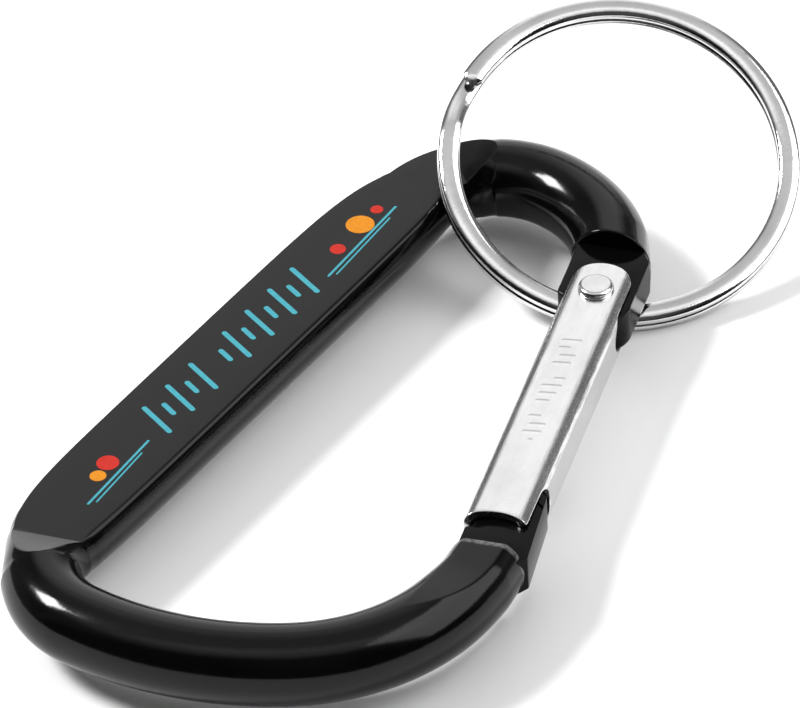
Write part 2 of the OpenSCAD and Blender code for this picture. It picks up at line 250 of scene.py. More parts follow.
def soften(loop, times):
    """Rounds the corners of an evenly stepped closed line."""
    for _ in range(times):
        loop = 0.25 * np.roll(loop, 1, 0) + 0.5 * loop + 0.25 * np.roll(loop, -1, 0)
    return loop


def anticlockwise(loop):
    """The closed line, turned round if it runs clockwise."""
    after = np.roll(loop, -1, 0)
    area = np.sum(loop[:, 0] * after[:, 1] - after[:, 0] * loop[:, 1])
    return loop if area > 0 else loop[::-1]


def inset(loop, distance):
    """The loop moved to its left by a short distance: inwards if it runs anticlockwise."""
    before, after = loop - np.roll(loop, 1, 0), np.roll(loop, -1, 0) - loop
    before /= np.linalg.norm(before, axis=1)[:, None]
    after /= np.linalg.norm(after, axis=1)[:, None]
    n = np.c_[-(before + after)[:, 1], (before + after)[:, 0]]
    n /= np.linalg.norm(n, axis=1)[:, None]
    lean = np.clip((n * np.c_[-before[:, 1], before[:, 0]]).sum(1), 0.5, 1)
    return loop + n * (distance / lean)[:, None]


def within(points, loop):
    """Which of the points lie inside a closed line."""
    x, y = points[:, :1], points[:, 1:2]
    a, b = loop, np.roll(loop, -1, 0)
    rise = np.where(b[:, 1] == a[:, 1], 1e-12, b[:, 1] - a[:, 1])
    crossing = (b[:, 0] - a[:, 0]) * (y - a[:, 1]) / rise + a[:, 0]
    hit = ((a[:, 1] > y) != (b[:, 1] > y)) & (x < crossing)
    return hit.sum(1) % 2 == 1


def clear(points, ring, least):
    """The points that are further than least from every point of a ring."""
    block = 2000
    keep = np.ones(len(points), bool)
    for i in range(0, len(points), block):
        gaps = np.linalg.norm(points[i : i + block, None] - ring[None], axis=2)
        keep[i : i + block] = gaps.min(1) > least
    return points[keep]


def fill(loops, inner=()):
    """Triangles of the area inside the first loop and outside the others, with extra points."""
    verts, edges = [], []
    for loop in loops:
        first = len(verts)
        verts += [Vector(p) for p in loop]
        edges += [(first + i, first + (i + 1) % len(loop)) for i in range(len(loop))]
    verts += [Vector(p) for p in inner]
    result = geometry.delaunay_2d_cdt(verts, edges, [], 0, 1e-7)
    points, tris, origin = result[0], result[2], result[3]
    if any(len(o) != 1 for o in origin) or len(points) != len(verts):
        raise RuntimeError("fill: the outline's points were merged")
    order = [o[0] for o in origin]
    tris = np.array([[order[i] for i in tri] for tri in tris])
    places = np.array([tuple(v) for v in verts])
    middle = places[tris].mean(1)
    keep = within(middle, np.asarray(loops[0]))
    for hole in loops[1:]:
        keep &= ~within(middle, np.asarray(hole))
    (ax, ay), (bx, by), (cx, cy) = (places[tris[:, k]].T for k in range(3))
    turn = (bx - ax) * (cy - ay) - (by - ay) * (cx - ax)
    tris[turn < 0] = tris[turn < 0][:, ::-1]
    return [tuple(int(i) for i in tri) for tri in tris[keep]]


def rim_levels(radius, steps):
    """A quarter round, as pairs of inset and drop: from the flat face to the wall's top."""
    turns = np.linspace(0, pi / 2, steps + 1)
    return [(radius * (1 - sin(a)), radius * (1 - cos(a))) for a in turns]


def plate(outline, z0, z1, bevel, holes=(), bulge=None, steps=4):
    """A flat plate with rounded rims, from z0 to z1. The outline runs anticlockwise and
    holes run clockwise. bulge pushes the outline's wall out by that much at mid height."""
    loops = [np.asarray(outline, float)] + [np.asarray(h, float) for h in holes]
    mid, half = (z0 + z1) / 2, (z1 - z0) / 2
    rim = [(distance, z0 + drop) for distance, drop in rim_levels(bevel, steps)]
    wall = []
    if bulge is not None:
        wall = [(0, mix(z0 + bevel, z1 - bevel, t)) for t in np.linspace(0, 1, 12)[1:-1]]
    levels = rim + wall + [(distance, 2 * mid - z) for distance, z in reversed(rim)]
    parts, tops, bottoms, base = [], [], [], 0
    for k, loop in enumerate(loops):
        rings = []
        for distance, z in levels:
            ring = inset(loop, distance)
            if k == 0 and bulge is not None:
                ring = ring + np.asarray(bulge) * (1 - ((z - mid) / half) ** 2)
            rings.append(np.c_[ring, np.full(len(ring), z)])
        n = len(loop)
        parts.append((np.vstack(rings), loft(rings, capped=False)))
        bottoms.append((base, rings[0]))
        tops.append((base + (len(levels) - 1) * n, rings[-1]))
        base += n * len(levels)
    points, faces = join(parts)
    for side, flip in ((tops, False), (bottoms, True)):
        index = [first + i for first, ring in side for i in range(len(ring))]
        for tri in fill([ring[:, :2] for _, ring in side]):
            face = tuple(index[i] for i in tri)
            faces.append(face[::-1] if flip else face)
    return points, faces


def lathe(profile, n):
    """A profile of (radius, height) turned about Z; it starts and ends on the axis."""
    turns = [2 * pi * j / n for j in range(n)]
    rings = [[(r * cos(a), r * sin(a), z) for a in turns] for r, z in profile[1:-1]]
    points = [q for ring in rings for q in ring]
    faces = loft(rings, capped=False)
    low, high, last = len(points), len(points) + 1, (len(rings) - 1) * n
    points += [(0, 0, profile[0][1]), (0, 0, profile[-1][1])]
    for j in range(n):
        faces.append(((j + 1) % n, j, low))
        faces.append((last + j, last + (j + 1) % n, high))
    return np.array(points, float), faces


def in_gate(points):
    """From the gate's own frame to design millimetres."""
    p = np.asarray(points, float)
    xy = gate_start + p[:, :1] * gate_x + p[:, 1:2] * gate_y
    return np.c_[xy, p[:, 2]]


# ---------------------------------------------------------------- the bent rod
EDGE_STEPS, SIDE_STEPS = 8, 32
ROUND_SOFT, RAMP_SOFT = 0.55, 0.07
PANEL_SOFT_OUT, PANEL_SOFT_IN, SOFT_REACH = 0.16, 0.5, 2.5
RAMP_SWELL, RAMP_SWELL_BACK, RAMP_SWELL_WIDTH = 0.1, 2.4, 0.9
END_RIM, END_RIM_STEPS = 0.14, 6
NOSE_BLEND_A, NOSE_BLEND_RINGS = 9, 8
HINGE_BLEND_A, HINGE_BLEND_RINGS = 24, 10
# the far ramp's share of the ramps' dull grey and roughness; keeping it darker is painted shade
FAR_RAMP_DULL_AND_SHADE = 0.12


def pressed_half(s):
    """Half the rod's height at s."""
    near_t = (panel_near - s) / PANEL_RAMP
    far_t = (s - panel_far) / PANEL_RAMP
    panel = mix(PANEL_HALF, ROD_R, min(max(near_t, far_t, 0.0), 1.0))
    nose = mix(NOSE_HALF, ROD_R, smooth((s - rod_low - 3) / 7))
    return min(panel, nose)


def side_shape(s, full, near_share, far_share, extra):
    """Centre and radius of one side's arc, and half the height. full is the side's reach on
    the panel, and the shares are how much of it is missing at the panel's two ends."""
    h = pressed_half(s)
    plain = math.sqrt(max(ROD_R**2 - h * h, 0))
    pressed = max(0.0, 1 - (h - PANEL_HALF) / (ROD_R - PANEL_HALF))
    bulge = ROD_R - plain
    edge = plain
    if s >= panel_near - PANEL_RAMP:
        near_loss = near_share * math.exp(-s / 2.9)
        far_loss = far_share * math.exp((s - SPINE_LEN) / 3.5)
        wide = mix(plain, full, max(0.0, 1 - near_loss - far_loss))
        least = plain + (0.2 if s < SPINE_LEN / 2 else 0.0)
        edge = mix(plain, max(wide, least), pressed)
        bulge = mix(bulge, PANEL_BULGE, pressed)
    r = (h * h + bulge * bulge) / (2 * bulge)
    return edge + bulge - r + extra, r, h


def half_section(s, full, near_share, far_share, extra, soft):
    """One side from the lower flat to the upper flat, with its edges rounded by soft."""
    cx, r, h = side_shape(s, full, near_share, far_share, extra)
    fx = cx + math.sqrt(max((r - soft) ** 2 - (h - soft) ** 2, 0.0))
    a = deg(math.atan2(h - soft, fx - cx))
    low = arc(fx, -(h - soft), soft, -90, -a, EDGE_STEPS)[:-1]
    side = arc(cx, 0, r, -a, a, SIDE_STEPS)
    high = arc(fx, h - soft, soft, a, 90, EDGE_STEPS)[1:]
    return low + side + high


def edge_softness(s, panel_soft):
    """Radius of the rounding along the flat's edges."""
    if s < panel_near - PANEL_RAMP:
        return ROUND_SOFT
    on_panel = smooth((s - panel_near) / SOFT_REACH) * smooth((panel_far - s) / SOFT_REACH)
    return mix(RAMP_SOFT, panel_soft, on_panel)


def rod_section(s):
    """The rod's closed section at s, as points of (outward, up)."""
    swell = NOSE_SWELL * (1 - smooth((s - rod_low) / 4))
    tuck = NOSE_INSET * (1 - smooth((s - rod_low) / 6))
    # the pressed flat's outer side swells a little where its ramp meets the round rod
    from_swell = (s - panel_near + RAMP_SWELL_BACK) / RAMP_SWELL_WIDTH
    swell += RAMP_SWELL * math.exp(-(from_swell**2))
    outer = half_section(s, PANEL_OUT, 0.5, 0.8, swell, edge_softness(s, PANEL_SOFT_OUT))
    inner = half_section(s, PANEL_IN, 0.35, 0.5, -tuck, edge_softness(s, PANEL_SOFT_IN))
    shares = (0.25, 0.5, 0.75)
    flat_top = [(mix(outer[-1][0], -inner[-1][0], t), outer[-1][1]) for t in shares]
    flat_low = [(mix(-inner[0][0], outer[0][0], t), inner[0][1]) for t in shares]
    return np.array(outer + flat_top + [(-x, z) for x, z in reversed(inner)] + flat_low)


def swept(s):
    """The section at s, square to the rod's centreline."""
    section = rod_section(s)
    p, out = rod_place(s)
    return np.c_[p + section[:, :1] * out, section[:, 1]]


# The rod's ends are cut square to the gate, not to the rod's own bend. All points of a
# square ring share one place along the gate, and a few rings blend it with the swept ones.
def square_ring(side, y, shrink):
    """The rod's section on the plane y of the gate's frame, shrunk by a distance. side is
    -1 at the nose and 1 at the hinge."""
    at_nose = side < 0
    r = nose_r if at_nose else HINGE_R
    along = y + GATE_SPAN if at_nose else y
    section = rod_section(rod_low + 0.4 if at_nose else rod_high)
    points = []
    for x, z in section * (1 - shrink / ROD_R):
        # a point at offset x moves on a circle of radius r + x about the bend's centre
        if side * along > 0:
            x = math.sqrt(max((r + x) ** 2 - along**2, 0)) - r
        points.append((x - GATE_OFFSET, y, z))
    return in_gate(points)


def square_rim(side, y):
    """The rings that round one cut end of the rod, from its face to its side."""
    levels = rim_levels(END_RIM, END_RIM_STEPS)
    return [square_ring(side, y + side * drop, distance) for distance, drop in levels]


def blend_rings(start, end, n):
    return [mix(start, end, (i + 1) / (n + 1)) for i in range(n)]


def rod_stops():
    """Places along the rod, closest together where its section changes."""
    spans = (
        (rod_low + nose_r * rad(NOSE_BLEND_A), 0.4),
        (-corner_len - wide_len, 0.45),
        (-corner_len, 0.3),
        (panel_near - PANEL_RAMP, 0.15),
        (panel_near, 0.25),
        (0.0, 0.3),
        (4.0, 0.6),
        (12.0, 1.6),
        (34.0, 0.6),
        (42.0, 0.3),
        (SPINE_LEN, 0.25),
        (panel_far, 0.15),
        (panel_far + PANEL_RAMP, 0.35),
        (far_s, 0.4),
        (rod_high - HINGE_R * rad(HINGE_BLEND_A), None),
    )
    stops = []
    for (a, step), (b, _) in zip(spans, spans[1:]):
        n = max(1, int(math.ceil((b - a) / step)))
        stops += [mix(a, b, i / n) for i in range(n)]
    return stops + [spans[-1][0]]


def build_rod():
    """The rod's mesh, and where it is ramp, flat or worn."""
    stops = rod_stops()
    nose_rim = square_rim(-1, -NOSE_SHOULDER)
    hinge_rim = square_rim(1, HINGE_STEP)
    bent = [swept(s) for s in stops]
    start = blend_rings(nose_rim[-1], bent[0], NOSE_BLEND_RINGS)
    end = blend_rings(bent[-1], hinge_rim[-1], HINGE_BLEND_RINGS)
    rings = nose_rim + start + bent + end + hinge_rim[::-1]

    ramp, flat, worn = np.zeros((3, len(rings), len(rings[0])))
    worn[2 : len(nose_rim) + 1] = 1.0
    edge = 0.01
    for k, s in enumerate(stops, len(nose_rim) + len(start)):
        on_face = np.abs(rod_section(s)[:, 1]) > pressed_half(s) - 0.02
        if panel_near - PANEL_RAMP < s < panel_near - edge:
            ramp[k] = on_face
        elif panel_far + edge < s < panel_far + PANEL_RAMP:
            # the far ramp's small share darkens it: painted shade
            ramp[k] = FAR_RAMP_DULL_AND_SHADE * on_face
        elif panel_near - edge <= s <= panel_far + edge:
            flat[k] = on_face
    masks = {"ramp": ramp.ravel(), "flat": flat.ravel(), "worn": worn.ravel()}
    return np.vstack(rings), loft(rings), masks


def hinge_tongue():
    end_y = -PIVOT_BACK - TONGUE_REACH
    corner = 2.4
    # down the inner side, round the end's outer corner and up the outer side
    outline = [(-2.7, 3.3), (-3.14, 2.8), (-3.09, 2.0), (-3.05, 1.0), (-TONGUE_IN, -PIVOT_BACK)]
    outline += [(-2.42, -PIVOT_BACK - 0.38), (-2.12, -PIVOT_BACK - 1.05)]
    outline += [(-TONGUE_SIDE, -PIVOT_BACK - 1.6), (-TONGUE_SIDE, end_y + 0.3)]
    outline += [(-TONGUE_SIDE + 0.3, end_y)]
    outline += arc(TONGUE_OUT - corner, end_y + corner, corner, -90, 0, 14)
    outline += [(TONGUE_OUT, 1.7), (2.42, 2.25), (2.11, 2.8), (1.7, 3.3)]
    loop = soften(even_loop(np.array(outline), 0.12), 2)
    # both sides swell into the rod's round sides near the step
    side_swell = 0.37
    swell = np.zeros_like(loop)
    for i, (x, y) in enumerate(loop):
        if x < -2.6:
            swell[i, 0] = -side_swell * smooth((y + 0.2) / 2.4)
        elif x > 1.9 and y > 1.2:
            swell[i, 0] = side_swell * smooth((y - 1.5) / 1.0)
    bore = np.array(arc(0, -PIVOT_BACK, RIVET_D / 2 + 0.05, 360, 0, 48)[:-1])
    points, faces = plate(loop, -TONGUE_HALF, TONGUE_HALF, 0.1, [even_loop(bore, 0.12)], swell)
    return in_gate(points), faces


def nose_tongue():
    tip_x = NOSE_OUT - math.tan(rad(NOSE_LEAN)) * (NOSE_SHOULDER - NOSE_TIP)
    side, tip = TONGUE_SIDE, 0.6
    root_y = -NOSE_SHOULDER - 0.8
    outline = arc(tip_x - tip, -NOSE_TIP - tip, tip, 0, 90, 8)
    outline += arc(-side + tip, -NOSE_TIP - tip, tip, 90, 180, 8)
    outline += [(-side, -GATE_LEN - 0.2), (-side - 0.5, -GATE_LEN - 0.5), (-side - 0.5, root_y)]
    outline += [(NOSE_OUT - 0.6, root_y), (NOSE_OUT, -NOSE_SHOULDER)]
    loop = soften(even_loop(np.array(outline), 0.1), 1)
    points, faces = plate(loop, -TONGUE_HALF, TONGUE_HALF, 0.07)
    return in_gate(points), faces


# ---------------------------------------------------------------- the folded gate
# The sheet's blank has u round the gate's section, 0 in the middle of the outer wall, and
# v along the gate, as its y.
MID_R = FOLD_R - SHEET_T / 2
FLAT_X = GATE_W / 2 - FOLD_R
FLAT_Z = GATE_HALF - FOLD_R
ARC_LEN = MID_R * pi / 2
U_FOLD, U_TOP = FLAT_Z, FLAT_Z + ARC_LEN
U_BACK = U_TOP + 2 * FLAT_X
U_WALL = U_BACK + ARC_LEN
U_END = U_WALL + FLAT_Z - SEAM_GAP / 2
U_MIDDLE = U_TOP + FLAT_X

GATE_STEP, GATE_RIM, GATE_RIM_STEPS = 0.1, 0.09, 4
TAB_HALF_W, TAB_HALF_T, TAB_HOLE_HALF = 1.15, 0.3, 1.2

DASH_COUNT, DASH_START, DASH_STEP, DASH_LEAN, DASH_DEPTH = 15, -9.7, 0.92, 0.12, 0.03
DASH_HALF_WIDTH, DASH_EDGE, DASH_REACH = 0.2, 0.13, 0.45
DASH_HALF_LENGTHS = (0.6, 0.3, 0.45, 0.55, 0, 0.25, 0.6, 0.5, 0.35)
DASH_SHIFTS = (-0.1, -0.4, 0.05, -0.15, 0, 0.2, -0.15, -0.2, -0.35)
STAMP_U = np.arange(U_MIDDLE - 0.8, U_MIDDLE + 1.15, 0.06)
STAMP_V = np.arange(-23.2, -9.0, 0.06)


def sheet_place(u):
    """Middle of the sheet at u round its section from the outer wall, and its outward normal."""
    side = 1 if u >= 0 else -1
    u = abs(u)
    if u < U_FOLD:
        x, z, nx, nz = FLAT_X + MID_R, u, 1, 0
    elif u < U_TOP:
        a = (u - U_FOLD) / MID_R
        nx, nz = cos(a), sin(a)
        x, z = FLAT_X + MID_R * nx, FLAT_Z + MID_R * nz
    elif u < U_BACK:
        x, z, nx, nz = FLAT_X - (u - U_TOP), FLAT_Z + MID_R, 0, 1
    elif u < U_WALL:
        a = (u - U_BACK) / MID_R
        nx, nz = -sin(a), cos(a)
        x, z = -FLAT_X + MID_R * nx, FLAT_Z + MID_R * nz
    else:
        x, z, nx, nz = -FLAT_X - MID_R, FLAT_Z - (u - U_WALL), -1, 0
    return x, side * z, nx, side * nz


def sheet_point(u, v, w):
    """A place on the blank in the gate's frame, w outwards from the middle of the sheet."""
    x, z, nx, nz = sheet_place(u)
    return x + nx * w, v, z + nz * w


def gate_pattern():
    """Half of the gate's flat blank, from the hinge slot to the nose slot, in (u, v)."""
    half_w = GATE_W / 2
    mouth_r = (half_w**2 + MOUTH_DEPTH**2) / (2 * MOUTH_DEPTH)
    u_slot = U_FOLD + MID_R * rad(32)
    u_inner = U_BACK + MID_R * rad(66)
    hinge_top = -HINGE_SLOT_END + SLOT_R
    nose_top = -NOSE_SLOT_START - SLOT_R
    side_shares = (0.33, 0.66, 1)

    def outer_x(u):
        x, _, nx, _ = sheet_place(u)
        return max(-half_w, min(half_w, x + nx * SHEET_T / 2))

    def hinge_v(u):
        return -half_w + math.sqrt(half_w**2 - outer_x(u) ** 2)

    def mouth_v(u):
        return -GATE_LEN + MOUTH_DEPTH - mouth_r + math.sqrt(mouth_r**2 - outer_x(u) ** 2)

    half = [(0.0, -HINGE_SLOT_END)]
    for a in np.linspace(0.1, pi / 2, 16):
        half.append((u_slot * sin(a), -HINGE_SLOT_END + SLOT_R * (1 - cos(a))))
    half += [(u_slot, mix(hinge_top, hinge_v(u_slot), t)) for t in side_shares]
    half += [(u, hinge_v(u)) for u in np.linspace(u_slot, u_inner, 60)[1:]]
    half += [(u_inner, -INNER_WALL_START), (U_END, -INNER_WALL_START), (U_END, -GATE_LEN)]
    half += [(u, mouth_v(u)) for u in np.linspace(U_WALL, u_slot, 60)]
    half += [(u_slot, mix(mouth_v(u_slot), nose_top, t)) for t in side_shares]
    half += [(u_slot * sin(a), nose_top + SLOT_R * cos(a)) for a in np.linspace(pi / 2, 0.1, 16)]
    return half + [(0.0, -NOSE_SLOT_START)]


def gate_loops():
    """The blank's outline, anticlockwise, and the spring tab's hole, clockwise."""
    half = gate_pattern()
    outer = anticlockwise(np.array(half + [(-u, v) for u, v in half[1:-1]][::-1]))
    for _ in range(2):
        outer = soften(even_loop(outer, GATE_STEP), 6)
    left, right = -U_MIDDLE - TAB_HOLE_HALF, -U_MIDDLE + TAB_HOLE_HALF
    near, far = -STOP_POS - 0.6, -STOP_POS - 3
    hole = np.array([(left, near), (right, near), (right, far), (left, far)])
    return outer, soften(even_loop(anticlockwise(hole)[::-1], GATE_STEP), 4)


def gate_grids(outer, hole):
    """Inner points for the sheet's outside, with a fine patch for the dashes, and for its
    inside. Both are fine round the folds."""
    us = []
    for a, b, n in ((0, U_FOLD, 5), (U_FOLD, U_TOP, 13), (U_TOP, U_BACK, 10),
                    (U_BACK, U_WALL, 13), (U_WALL, U_END, 5)):
        us += [round(u, 5) for u in np.linspace(a, b, n)[:-1]]
    us = sorted(set(us + [-u for u in us]))
    vs = np.arange(-GATE_LEN + 0.2, -0.1, 0.4)
    grid = np.array([(u, v) for u in us for v in vs])
    outer_rim = inset(outer, GATE_RIM)
    grid = grid[within(grid, outer_rim) & ~within(grid, hole)]
    grid = clear(clear(grid, outer_rim, 0.09), inset(hole, GATE_RIM), 0.12)
    gap = 0.1
    u, v = grid.T
    in_stamp = (u > STAMP_U[0] - gap) & (u < STAMP_U[-1] + gap)
    in_stamp &= (v > STAMP_V[0] - gap) & (v < STAMP_V[-1] + gap)
    stamp = np.array([(u, v) for u in STAMP_U for v in STAMP_V])
    return np.vstack([grid[~in_stamp], stamp]), grid


def dash_depth(x, y):
    """How deep the stamped row of plain dashes is at a point of the top flange, 0 to 1."""
    depth = 0.0
    for k in range(DASH_COUNT):
        yc = DASH_START - DASH_STEP * k
        if k % 5 == 4 or abs(y - yc) > DASH_REACH:
            continue
        from_middle = x - DASH_SHIFTS[k % 9]
        beyond = max(0.0, abs(from_middle) - DASH_HALF_LENGTHS[k % 9])
        distance = math.hypot(beyond, y - yc - DASH_LEAN * from_middle)
        depth = max(depth, smooth((DASH_HALF_WIDTH - distance) / DASH_EDGE))
    return depth


def spring_tab():
    outline = [(-TAB_HALF_W, -TAB_HALF_T), (TAB_HALF_W, -TAB_HALF_T)]
    outline += [(TAB_HALF_W, TAB_HALF_T), (-TAB_HALF_W, TAB_HALF_T)]
    loop = soften(even_loop(np.array(outline), 0.08), 3)
    points, faces = plate(loop, -INNER_HALF - 0.15, 0.8, 0.1)
    return points + np.array([0, -STOP_POS - TAB_HALF_T, 0]), faces


def gate_shell():
    """The gate's mesh, and a mask that is 1 along the middle of each fold."""
    loops = gate_loops()
    w = SHEET_T / 2
    levels = [(distance, w - drop) for distance, drop in rim_levels(GATE_RIM, GATE_RIM_STEPS)]
    levels += [(distance, -h) for distance, h in reversed(levels)]

    points, faces, outside, inside = [], [], [], []
    for loop in loops:
        first, n = len(points), len(loop)
        rings = [[sheet_point(u, v, h) for u, v in inset(loop, d)] for d, h in levels]
        points += [q for ring in rings for q in ring]
        faces += [(a, d, c, b) for a, b, c, d in loft(rings, first, capped=False)]
        outside += range(first, first + n)
        inside += range(len(points) - n, len(points))
    outer_grid, inner_grid = gate_grids(*loops)
    for top, index, grid in ((True, outside, outer_grid), (False, inside, inner_grid)):
        index += range(len(points), len(points) + len(grid))
        for u, v in grid:
            h = w if top else -w
            if top and U_TOP < u < U_BACK:
                h -= DASH_DEPTH * dash_depth(FLAT_X - (u - U_TOP), v)
            points.append(sheet_point(u, v, h))
        for tri in fill([inset(loop, GATE_RIM) for loop in loops], grid):
            face = tuple(index[i] for i in tri)
            faces.append(face if top else face[::-1])
    points, faces = join([(np.array(points), faces), spring_tab()])
    past_x = np.clip(np.abs(points[:, 0]) - FLAT_X, 0, 1)
    past_z = np.clip(np.abs(points[:, 2]) - FLAT_Z, 0, 1)
    return in_gate(points), faces, np.clip(2.4 * past_x * past_z, 0, 1)


# ---------------------------------------------------------------- rivet, plunger, spring, ring
PLUNGER_TRAVEL = 0.3
TURN_STEPS = 36
COIL_GAP, RING_STEPS, RING_RIM = 0.03, 560, 0.12
WIRE_POWER = 2 / 2.2


def rivet():
    top, r, edge = GATE_HALF + RIVET_HEAD_H, RIVET_HEAD_R, 0.36
    upper = [(RIVET_D / 2, 0), (RIVET_D / 2, GATE_HALF - 0.02)]
    upper += [(r - 0.02, GATE_HALF - 0.02), (r, GATE_HALF + 0.06)]
    for a in np.linspace(0.1, pi / 2, 7):
        upper.append((r - edge + edge * cos(a), top - edge + edge * sin(a)))
    upper += [(r * 0.72, top), (r * 0.4, top - 0.012), (0, top - 0.02)]
    profile = [(x, -z) for x, z in upper[::-1]] + upper[1:]
    points, faces = lathe(profile, 72)
    return in_gate(points + np.array([0, -PIVOT_BACK, 0])), faces


def plunger():
    c, s = PLUNGER_R, STEM_R
    end = COLLAR_LEN + STEM_LEN
    profile = [(0, 0), (c - 0.3, 0), (c - 0.14, 0.04), (c - 0.04, 0.14), (c, 0.3)]
    profile += [(c, COLLAR_LEN - 0.08), (c - 0.08, COLLAR_LEN)]
    profile += [(s + 0.08, COLLAR_LEN), (s, COLLAR_LEN + 0.08)]
    profile += [(s, end - 0.3), (s - 0.09, end - 0.09), (s - 0.3, end), (0, end)]
    points, faces = lathe(profile, 48)
    # turned about Z, it is laid down so that Z becomes the way from the hinge to the nose
    return in_gate(np.c_[points[:, 0], -PLUNGER_START - points[:, 2], points[:, 1]]), faces


def spring():
    # the plunger's own travel is left free above the first turn
    first = PLUNGER_START + COLLAR_LEN + SPRING_WIRE_R + PLUNGER_TRAVEL
    last = STOP_POS - SPRING_WIRE_R - 0.02
    r = PLUNGER_R - SPRING_WIRE_R - 0.05
    wire = SPRING_WIRE_R
    section = [(wire * cos(b), wire * sin(b)) for b in np.linspace(0, 2 * pi, 13)[:-1]]
    steps = SPRING_TURNS * TURN_STEPS
    along = np.array([0, 1.0, 0])
    rings = []
    for i in range(steps + 1):
        t = i / steps
        a = 2 * pi * SPRING_TURNS * t
        out = np.array([sin(a), 0, cos(a)])
        middle = out * r - along * mix(first, last, t)
        rings.append([middle + x * out + y * along for x, y in section])
    return in_gate(np.vstack(rings)), loft(rings)


def ring_wire():
    """The flattened wire's section: a rounded oblong, fullest in its middle."""
    w, h = RING_W / 2, RING_H / 2
    points = []
    for a in np.linspace(0, 2 * pi, 49)[:-1]:
        x, y = cos(a), sin(a)
        across = math.copysign(abs(x) ** WIRE_POWER * w, x)
        points.append((across, math.copysign(abs(y) ** WIRE_POWER * h, y)))
    return np.array(points)


def split_ring():
    """Two turns of wire. It crosses from the lower to the upper turn over a short way."""
    mean_r = (RING_D - RING_W) / 2
    turn_a = 360 - RING_CROSS_A
    total = 2 * turn_a + RING_CROSS_A
    pitch = RING_H + COIL_GAP
    section = ring_wire()
    rings = []
    for i in range(RING_STEPS + 1):
        turned = total * i / RING_STEPS
        a = rad(RING_START_A + turned)
        level = pitch * (smooth((turned - turn_a) / RING_CROSS_A) - 0.5)
        # the wire's ends are rounded: its section shrinks over the last part of the way
        left = min(turned, total - turned) * pi / 180 * mean_r
        short = RING_RIM - math.sqrt(RING_RIM**2 - max(0, RING_RIM - left) ** 2)
        q = section * (1 - short / 0.6)
        out = np.array([cos(a), sin(a), 0])
        up = np.c_[np.zeros((len(q), 2)), q[:, 1] + level]
        rings.append((mean_r + q[:, :1]) * out + up)
    turn = np.array(Matrix.Rotation(rad(RING_TILT), 3, Vector((1, 1, 0)).normalized()))
    return np.vstack(rings) @ turn.T + RING_POS, loft(rings)


# ---------------------------------------------------------------- the print
INK_DEPTH, INK_PROUD = 0.02, 0.014


def bar(x0, y0, x1, y1, width):
    """A straight stroke with round ends, as an anticlockwise outline."""
    a = deg(math.atan2(y1 - y0, x1 - x0))
    end = arc(x1, y1, width / 2, a - 90, a + 90, 8)
    return np.array(end + arc(x0, y0, width / 2, a + 90, a + 270, 8))


def print_marks():
    """Outlines of a plain pattern on the flat: slanted bars, dots and long thin lines."""
    teal, orange, red = [], [], []
    for k in range(13):
        y = 12.9 + 1.5 * k + (1.4 if k > 4 else 0)
        if k % 2:
            teal.append(bar(0.1, y, -1.1, y + 0.5, 0.42))
        else:
            teal.append(bar(1.05, y - 0.4, -2.1, y + 0.9, 0.42))
    for x, y, r, ink in (
        (-0.5, 5.6, 0.62, orange),
        (-0.75, 7.2, 0.85, red),
        (-0.5, 37.0, 0.62, red),
        (-0.75, 40.4, 1.1, orange),
        (-0.7, 42.6, 0.5, red),
    ):
        ink.append(np.array(arc(x, y, r, 0, 360, 40)[:-1]))
    for y0, y1 in ((2.6, 10.8), (33.9, 43.6)):
        teal.append(bar(0.75, y0, 0.35, y1, 0.2))
        teal.append(bar(1.15, y0 + 0.5, 0.75, y1 - 1.4, 0.14))
    return (("print_teal", teal), ("print_orange", orange), ("print_red", red))


def print_solid(outlines):
    low, high = PANEL_HALF - INK_DEPTH, PANEL_HALF + INK_PROUD
    return join([plate(even_loop(o, 0.09), low, high, 0.006, steps=1) for o in outlines])


# ---------------------------------------------------------------- materials
class Nodes:
    """Short calls for the few node kinds that the materials use. Noise scales are in
    cells per metre and bump distances in metres."""

    def __init__(self, tree, end):
        self.tree = tree
        self.end = tree.nodes[end]

    def add(self, kind, inputs=None, **settings):
        node = self.tree.nodes.new(kind)
        for key, value in settings.items():
            setattr(node, key, value)
        for key, value in (inputs or {}).items():
            if isinstance(value, bpy.types.NodeSocket):
                self.tree.links.new(value, node.inputs[key])
            else:
                node.inputs[key].default_value = value
        return node

    def drive(self, socket, value):
        """Links a value to an input of the last shader."""
        self.tree.links.new(value, self.end.inputs[socket])

    def coords(self, stretch=(1, 1, 1), turn=0.0):
        """Object coordinates, turned first and then stretched along the turned axes."""
        place = self.add("ShaderNodeTexCoord").outputs["Object"]
        inputs = {"Vector": place, "Rotation": (0, 0, turn), "Scale": stretch}
        return self.add("ShaderNodeMapping", inputs, vector_type="TEXTURE").outputs[0]

    def noise(self, vector, scale, detail, rough=0.55):
        inputs = {"Vector": vector, "Scale": scale, "Detail": detail, "Roughness": rough}
        return self.add("ShaderNodeTexNoise", inputs).outputs["Fac"]

    def remap(self, value, from_min, from_max, to_min, to_max):
        inputs = {"Value": value, "From Min": from_min, "From Max": from_max}
        inputs.update({"To Min": to_min, "To Max": to_max})
        return self.add("ShaderNodeMapRange", inputs).outputs["Result"]

    def math(self, kind, a, b=0.0):
        return self.add("ShaderNodeMath", {0: a, 1: b}, operation=kind).outputs[0]

    def attribute(self, name):
        return self.add("ShaderNodeAttribute", attribute_name=name).outputs["Fac"]

    def mix_colour(self, fac, a, b):
        return self.add("ShaderNodeMix", {0: fac, 6: a, 7: b}, data_type="RGBA").outputs[2]

    def bump(self, height, distance, strength, normal=None):
        inputs = {"Height": height, "Distance": distance, "Strength": strength}
        if normal is not None:
            inputs["Normal"] = normal
        return self.add("ShaderNodeBump", inputs).outputs["Normal"]


def node_material(name, **values):
    material = bpy.data.materials.new(name)
    material.use_nodes = True
    n = Nodes(material.node_tree, "Principled BSDF")
    for key, value in values.items():
        n.end.inputs[key.replace("_", " ")].default_value = value
    return material, n


